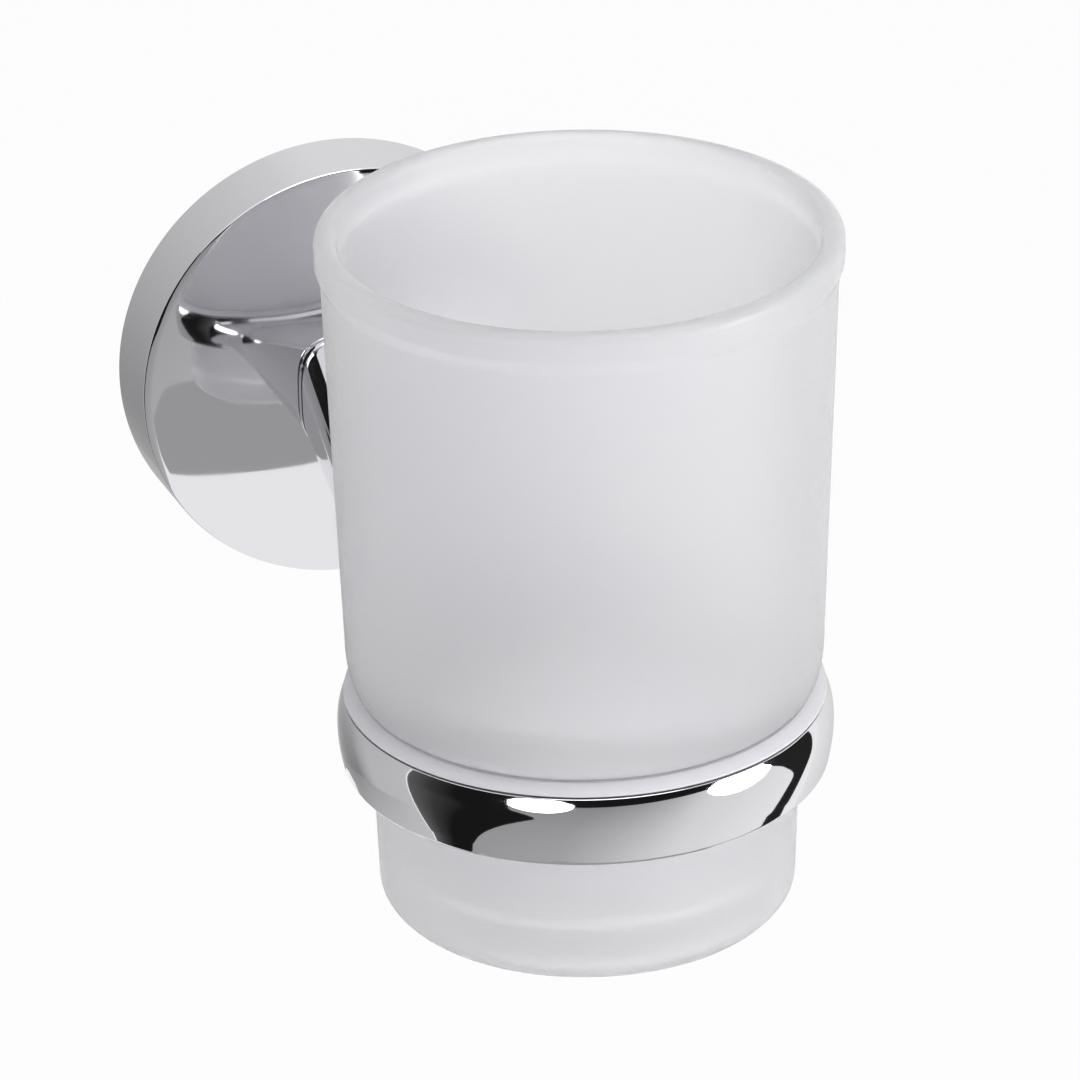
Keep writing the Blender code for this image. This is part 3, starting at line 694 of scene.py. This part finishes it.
def tumbler_outline(sizes):
    """Outline of the glass, from the inner bottom over the lip to the hollow under the foot.

    The shoulder is a quarter of an ellipse from the waist in to the seat.
    """
    bead_foot = sizes.height - sizes.bead_height
    step = sizes.shoulder_height + sizes.shoulder_rise
    wall = sizes.wall
    upper = soften([
        (0, sizes.foot_thickness, 0),
        (sizes.foot_radius - wall, sizes.foot_thickness, sizes.inner_foot_round),
        (sizes.lower_radius - wall, sizes.shoulder_height, sizes.inner_round),
        (sizes.waist_radius - wall, step, sizes.inner_round),
        (sizes.top_radius - wall, bead_foot, sizes.bead_round),
        (sizes.rim_radius - sizes.lip_width, sizes.height, sizes.lip_round),
        (sizes.rim_radius, sizes.height, sizes.lip_round),
        (sizes.rim_radius, bead_foot, sizes.bead_round),
        (sizes.top_radius, bead_foot - sizes.bead_round, sizes.bead_round),
        (sizes.waist_radius, step, 0),
    ], steps=GLASS_FILLET_STEPS)
    t = np.linspace(0, HALF_TURN / 2, SHOULDER_STEPS)[1:]
    across = sizes.waist_radius - sizes.shoulder_inset * (1 - np.cos(t))
    shoulder = np.stack([across, step - sizes.shoulder_rise * np.sin(t)], axis=1)
    lower = soften([
        (*shoulder[-1], 0),
        (sizes.lower_radius, sizes.shoulder_height, sizes.edge_round),
        (sizes.foot_radius, 0, sizes.foot_round),
        (sizes.kick_radius, 0, sizes.edge_round),
        (sizes.kick_radius - sizes.kick_depth, sizes.kick_depth, sizes.edge_round),
        (0, sizes.kick_depth, 0),
    ], steps=GLASS_FILLET_STEPS)
    return np.concatenate([upper, shoulder[:-1], lower])


class HOLDER_OT_base(bpy.types.Operator):
    """Make the round base on the wall"""

    bl_idname = "holder.make_base"
    bl_label = "Round base"

    def execute(self, context):
        sizes = settings("base")
        chrome = chrome_plate("base_chrome")
        cup = skin(turn(base_outline(sizes), forward=True), ring=True)
        boss = skin(boss_grid(sizes, settings("ring")), ring=True)
        base = piece("base", [cup, boss], chrome)
        bit = drill_bit(
            "grub_bit",
            sizes.grub_hole,
            (0, -sizes.grub_height, -sizes.back_radius - CUT_OVERRUN),
            (0, -sizes.grub_height, -sizes.back_radius + sizes.wall + CUT_OVERRUN),
            chrome,
        )
        cut(base, bit)
        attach(base, "holder")
        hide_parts("rosette")
        return {"FINISHED"}


class HOLDER_OT_ring(bpy.types.Operator):
    """Make the arm and the ring, one casting"""

    bl_idname = "holder.make_ring"
    bl_label = "Arm and ring"

    def execute(self, context):
        sizes = settings("ring")
        chrome = chrome_plate("arm_chrome")
        ring = skin(turn(ring_outline(sizes), centre=(0, -sizes.reach, 0)), ring=True)
        arm = skin(arm_grid(sizes))
        casting = piece("arm_and_ring", [arm, ring], chrome)
        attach(casting, "holder")
        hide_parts("ring_arm")
        return {"FINISHED"}


class HOLDER_OT_liner(bpy.types.Operator):
    """Make the plastic bush in the ring"""

    bl_idname = "holder.make_liner"
    bl_label = "Ring liner"

    def execute(self, context):
        ring = settings("ring")
        outline = liner_outline(settings("liner"), ring)
        grid = turn(outline, centre=(0, -ring.reach, 0))
        liner = piece("liner", [skin(grid, ring=True)], milky_plastic("liner_plastic"))
        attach(liner, "holder")
        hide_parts("ring_liner")
        return {"FINISHED"}


class HOLDER_OT_tumbler(bpy.types.Operator):
    """Make the frosted tumbler"""

    bl_idname = "holder.make_tumbler"
    bl_label = "Tumbler"

    def execute(self, context):
        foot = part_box("tumbler")[0][2]
        outline = tumbler_outline(settings("tumbler"))
        grid = turn(outline, centre=(0, -settings("ring").reach, foot))
        glass = piece("glass", [skin(grid)], frosted_glass("frosted_glass"))
        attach(glass, "tumbler")
        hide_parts("tumbler")
        return {"FINISHED"}


class HOLDER_OT_fixings(bpy.types.Operator):
    """Give the wall plate, the screws, the washer and the dowel their finish"""

    bl_idname = "holder.finish_fixings"
    bl_label = "Fixings"

    def execute(self, context):
        zinc, steel = bare_zinc("plate_zinc"), turned_steel("screw_steel")
        finishes = {
            "wall_plate": zinc,
            "set_screw": steel,
            "arm_screw": steel,
            "lock_washer": steel,
            "locating_pin": steel,
        }
        for name, material in finishes.items():
            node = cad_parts[name]
            node.data.materials.clear()
            node.data.materials.append(material)
        return {"FINISHED"}


# Stage


def toward(azimuth, elevation):
    """Unit vectors at angles in degrees: azimuth 0 comes straight off the wall, 90 is right."""
    turn_to, rise = np.radians(azimuth), np.radians(elevation)
    return np.stack(
        [np.sin(turn_to) * np.cos(rise), -np.cos(turn_to) * np.cos(rise), np.sin(rise)], axis=-1
    )


def seen_directly(tree):
    """Value that is 1 for what the camera, a mirror or clear glass sees, and 0 for other light."""
    path = tree.nodes.new("ShaderNodeLightPath")
    total = path.outputs["Is Camera Ray"]
    for ray in ("Is Glossy Ray", "Is Transmission Ray"):
        both = tree.nodes.new("ShaderNodeMath")
        both.operation = "ADD"
        both.use_clamp = True
        tree.links.new(total, both.inputs[0])
        tree.links.new(path.outputs[ray], both.inputs[1])
        total = both.outputs[0]
    return total


def screen(name, distance, left, right, tones, through=False):
    """Add a studio screen round the ring: a patch of a sphere that only mirrors see.

    left and right list its edges as (elevation, azimuth) in degrees, from the foot up. A point is
    the ring's centre plus the distance along toward(a, e), with e between foot and top, and a
    between the two edges at that height. The tones are (share of the width, tone at the foot,
    tone at the top), and mix evenly between these places. If through is true, the screen is seen
    through the glass instead, and not in mirrors.
    """
    across = np.linspace(0, 1, SCREEN_POINTS)[None, :]
    rise = np.linspace(0, 1, SCREEN_POINTS)[:, None]
    e = left[0][0] + (left[-1][0] - left[0][0]) * rise
    start = np.interp(e, *np.array(left, float).T)
    stop = np.interp(e, *np.array(right, float).T)
    a = start + (stop - start) * across
    places = RING_CENTRE + distance * toward(a, e + 0 * a)
    share, at_foot, at_top = np.array(tones, float).T
    foot, top = np.interp(across, share, at_foot), np.interp(across, share, at_top)
    level = (foot + (top - foot) * rise).ravel()
    index = np.arange(SCREEN_POINTS**2).reshape(SCREEN_POINTS, SCREEN_POINTS)
    quads = np.stack([index[:-1, :-1], index[:-1, 1:], index[1:, 1:], index[1:, :-1]], axis=-1)
    reflector(name, places.reshape(-1, 3), quads.reshape(-1, 4), level, through)


def card(name, centre, side, other, tone):
    """Add a small card close to the holder, which only mirrors see.

    Its outline is the centre plus x times one side plus y times the other, with
    |x|^n + |y|^n = 1.
    """
    x, y = (values[0][:, None] for values in rounded_square(CARD_SQUARENESS))
    places = np.array(centre, float) + x * np.array(side, float) + y * np.array(other, float)
    reflector(name, places, np.arange(len(places))[None, :], np.full(len(places), tone))


def reflector(name, places, faces, level, through=False):
    """Add a surface with a tone at each point, which only mirrors see or only glass lets see."""
    mesh = bpy.data.meshes.new(name)
    mesh.from_pydata(places.tolist(), [], faces.tolist())
    tones = mesh.attributes.new("tone", "FLOAT", "POINT")
    tones.data.foreach_set("value", level)
    item = bpy.data.objects.new(name, mesh)
    bpy.context.scene.collection.objects.link(item)
    item.data.materials.append(glow(name))
    item.visible_camera = False
    item.visible_diffuse = False
    item.visible_glossy = not through
    item.visible_transmission = through
    item.visible_shadow = False


def glow(name):
    """Even light of the grey that the mesh's tone gives."""
    material = bpy.data.materials.new(name)
    material.use_nodes = True
    tree = material.node_tree
    tree.nodes.clear()
    tone = tree.nodes.new("ShaderNodeAttribute")
    tone.attribute_name = "tone"
    shine = tree.nodes.new("ShaderNodeEmission")
    output = tree.nodes.new("ShaderNodeOutputMaterial")
    tree.links.new(tone.outputs["Fac"], shine.inputs["Color"])
    tree.links.new(shine.outputs[0], output.inputs["Surface"])
    return material


def softbox(name, azimuth, elevation, distance, size, power):
    """Add a large round lamp that faces the ring and shows only in mirrors."""
    lamp = bpy.data.lights.new(name, "AREA")
    lamp.shape = "DISK"
    lamp.size = size
    lamp.energy = power
    item = bpy.data.objects.new(name, lamp)
    away = toward(azimuth, elevation)
    item.location = RING_CENTRE + away * distance
    item.rotation_euler = Vector(-away).to_track_quat("-Z", "Y").to_euler()
    item.visible_camera = False
    item.visible_transmission = False
    bpy.context.scene.collection.objects.link(item)


def lay_floor():
    """Add the pale floor, which takes the shadow and which camera and mirrors see nearly white."""
    material = bpy.data.materials.new("floor")
    material.use_nodes = True
    tree = material.node_tree
    matt = tree.nodes["Principled BSDF"]
    matt.inputs["Base Color"].default_value = (*settings("finishes").backdrop, 1)
    matt.inputs["Roughness"].default_value = 1
    matt.inputs["Specular IOR Level"].default_value = 0
    shine = tree.nodes.new("ShaderNodeEmission")
    mix = tree.nodes.new("ShaderNodeMixShader")
    share = tree.nodes.new("ShaderNodeMath")
    share.operation = "MULTIPLY"
    share.inputs[1].default_value = FLOOR_WHITE_SHARE
    tree.links.new(seen_directly(tree), share.inputs[0])
    tree.links.new(share.outputs[0], mix.inputs[0])
    tree.links.new(matt.outputs[0], mix.inputs[1])
    tree.links.new(shine.outputs[0], mix.inputs[2])
    tree.links.new(mix.outputs[0], tree.nodes["Material Output"].inputs["Surface"])
    mesh = bpy.data.meshes.new("floor")
    corners = [(-1, -1), (1, -1), (1, 1), (-1, 1)]
    points = [(x * FLOOR_HALF, y * FLOOR_HALF, FLOOR_HEIGHT) for x, y in corners]
    mesh.from_pydata(points, [], [(0, 1, 2, 3)])
    floor = bpy.data.objects.new("floor", mesh)
    floor.data.materials.append(material)
    bpy.context.scene.collection.objects.link(floor)


def surround():
    """Set the world: white where it is seen, and a little less as light on the object."""
    world = bpy.data.worlds.new("surroundings")
    world.use_nodes = True
    bpy.context.scene.world = world
    tree = world.node_tree
    ground = tree.nodes["Background"]
    ground.inputs["Color"].default_value = (1, 1, 1, 1)
    level = tree.nodes.new("ShaderNodeMapRange")
    level.inputs["To Min"].default_value = WORLD_LIGHT
    level.inputs["To Max"].default_value = 1
    tree.links.new(seen_directly(tree), level.inputs["Value"])
    tree.links.new(level.outputs["Result"], ground.inputs["Strength"])


def place_camera():
    """Add the photo's camera: left of the holder, looking down at it."""
    scene = bpy.context.scene
    camera = bpy.data.objects.new("camera", bpy.data.cameras.new("camera"))
    scene.collection.objects.link(camera)
    camera.data.lens = CAMERA_LENS
    camera.data.sensor_width = CAMERA_SENSOR
    camera.data.clip_start, camera.data.clip_end = CAMERA_CLIP
    roll = Matrix.Rotation(CAMERA_ROLL, 4, "Z")
    look = Vector(CAMERA_VIEW).to_track_quat("-Z", "Y").to_matrix().to_4x4()
    camera.matrix_world = Matrix.Translation(CAMERA_PLACE) @ look @ roll
    scene.camera = camera
    scene.view_settings.view_transform = "Standard"


RING_CENTRE = np.array([0, -0.1065, -0.01])
FLOOR_HALF = 30
FLOOR_HEIGHT = -1.5
FLOOR_WHITE_SHARE = 0.92
WORLD_LIGHT = 0.75
CAMERA_PLACE = (-0.27673228, -0.86337513, 0.40753652)
CAMERA_VIEW = (0.3029915, 0.84698079, -0.43682912)
CAMERA_ROLL = math.radians(-0.955)
CAMERA_LENS = 228.99
CAMERA_SENSOR = 36
CAMERA_CLIP = (0.01, 50)
# name, azimuth, elevation, distance, size, power
LAMPS = (
    ("left_light", -41, 14, 1.2, 0.64, 5),
    ("right_light", 52, 7, 1.2, 0.74, 12),
    ("top_light", 10, 75, 1.4, 1.0, 6),
)
SCREEN_POINTS = 32
# name, distance, left edge, right edge, tones, and whether it is seen through the glass
SCREENS = (
    (
        "dark_left",
        1.1,
        ((-62, -105), (40, -105)),
        (
            (-62, -96), (-50, -88), (-38, -74), (-25, -58),
            (-12, -42), (-8, -44), (-2, -54), (40, -57),
        ),
        ((0, 0.14, 0.1), (0.25, 0.05, 0.04), (0.5, 0.01, 0.01), (1, 0.01, 0.01)),
    ),
    (
        "table",
        1.4,
        ((-76, -101), (12, -57)),
        ((-76, 92), (12, 92)),
        (
            (0, 0.4, 0.3), (0.3, 0.5, 0.3), (0.42, 0.64, 0.38),
            (0.52, 0.76, 0.5), (0.63, 0.84, 0.76), (1, 1.0, 0.9),
        ),
    ),
    (
        "dark_top",
        1.3,
        ((12, -60), (40, -60)),
        ((12, 78), (40, 78)),
        ((0, 0.01, 0.01), (1, 0.01, 0.01)),
    ),
    (
        "dark_right",
        1.1,
        (
            (-60, 20), (-50, 60), (-44, 78), (-38, 84),
            (-25, 89), (-15, 80), (0, 70), (15, 66),
        ),
        ((-60, 60), (-50, 80), (-44, 90), (-38, 96), (-20, 102), (0, 99), (15, 97)),
        ((0, 0.02, 0.02), (1, 0.02, 0.02)),
    ),
    (
        "back_left",
        1.2,
        ((-30, -180), (50, -180)),
        ((-30, -106), (50, -106)),
        ((0, 0.38, 0.84), (0.22, 0.27, 0.79), (0.4, 0.25, 0.78), (0.62, 0.56, 0.5), (1, 0.6, 0.6)),
    ),
    (
        "low_left",
        1.2,
        ((-50, -180), (-30, -180)),
        ((-50, -106), (-30, -106)),
        ((0, 0.4, 0.38), (0.3, 0.7, 0.3), (1, 0.62, 0.6)),
    ),
    (
        "back_right",
        1.2,
        ((-50, 107), (50, 107)),
        ((-50, 180), (50, 180)),
        ((0, 0.9, 0.95), (0.7, 0.5, 0.95), (0.85, 0.35, 0.95), (1, 0.33, 0.84)),
    ),
    (
        "front_dim",
        1.3,
        ((-50, -100), (70, -100)),
        ((-50, 80), (70, 80)),
        ((0, 0.2, 0.2), (1, 0.2, 0.2)),
        True,
    ),
)
CARD_SQUARENESS = 5
# name, centre, side, other side, tone
CARDS = (
    ("white_card", (0, -0.075, -0.0605), (0.046, 0, 0), (0, 0.055, 0), 0.97),
    ("grey_card", (-0.008, -0.1265, -0.06), (0.036, 0, 0), (0, 0.0435, 0), 0.37),
    ("dark_card", (-0.05, -0.052, 0.03), (0, 0.024, 0), (0, 0, 0.03), 0.01),
)


class HOLDER_OT_stage(bpy.types.Operator):
    """Set the floor, the white surroundings, the lamps and the camera"""

    bl_idname = "holder.set_stage"
    bl_label = "Stage"

    def execute(self, context):
        lay_floor()
        surround()
        for values in LAMPS:
            softbox(*values)
        for values in SCREENS:
            screen(*values)
        for values in CARDS:
            card(*values)
        place_camera()
        return {"FINISHED"}


class HOLDER_PT_panel(bpy.types.Panel):
    """Lists the pieces, their sizes and colours"""

    bl_idname = "HOLDER_PT_panel"
    bl_label = "Toothbrush holder"
    bl_space_type = "VIEW_3D"
    bl_region_type = "UI"
    bl_category = "Holder"

    def draw(self, context):
        for operator in OPERATORS:
            self.layout.operator(operator.bl_idname)
        for name in GROUPS:
            box = self.layout.box()
            box.label(text=name.title())
            group = settings(name)
            for key in group.__annotations__:
                box.prop(group, key)


OPERATORS = (
    HOLDER_OT_base,
    HOLDER_OT_ring,
    HOLDER_OT_liner,
    HOLDER_OT_tumbler,
    HOLDER_OT_fixings,
    HOLDER_OT_stage,
)
GROUPS = {
    "base": BaseSizes,
    "ring": RingSizes,
    "liner": LinerSizes,
    "tumbler": TumblerSizes,
    "finishes": Finishes,
}


def register():
    """Add the classes, and the property groups to the scene."""
    for group in GROUPS.values():
        bpy.utils.register_class(group)
    for operator in OPERATORS:
        bpy.utils.register_class(operator)
    bpy.utils.register_class(HOLDER_PT_panel)
    for name, group in GROUPS.items():
        setattr(bpy.types.Scene, "holder_" + name, PointerProperty(type=group))


def unregister():
    """Take the property groups and the classes away again."""
    for name in GROUPS:
        delattr(bpy.types.Scene, "holder_" + name)
    bpy.utils.unregister_class(HOLDER_PT_panel)
    for operator in reversed(OPERATORS):
        bpy.utils.unregister_class(operator)
    for group in reversed(GROUPS.values()):
        bpy.utils.unregister_class(group)


def main():
    """Make every piece and the stage."""
    register()
    bpy.ops.holder.make_base()
    bpy.ops.holder.make_ring()
    bpy.ops.holder.make_liner()
    bpy.ops.holder.make_tumbler()
    bpy.ops.holder.finish_fixings()
    bpy.ops.holder.set_stage()
    bpy.context.view_layer.update()


if __name__ == "__main__":
    main()
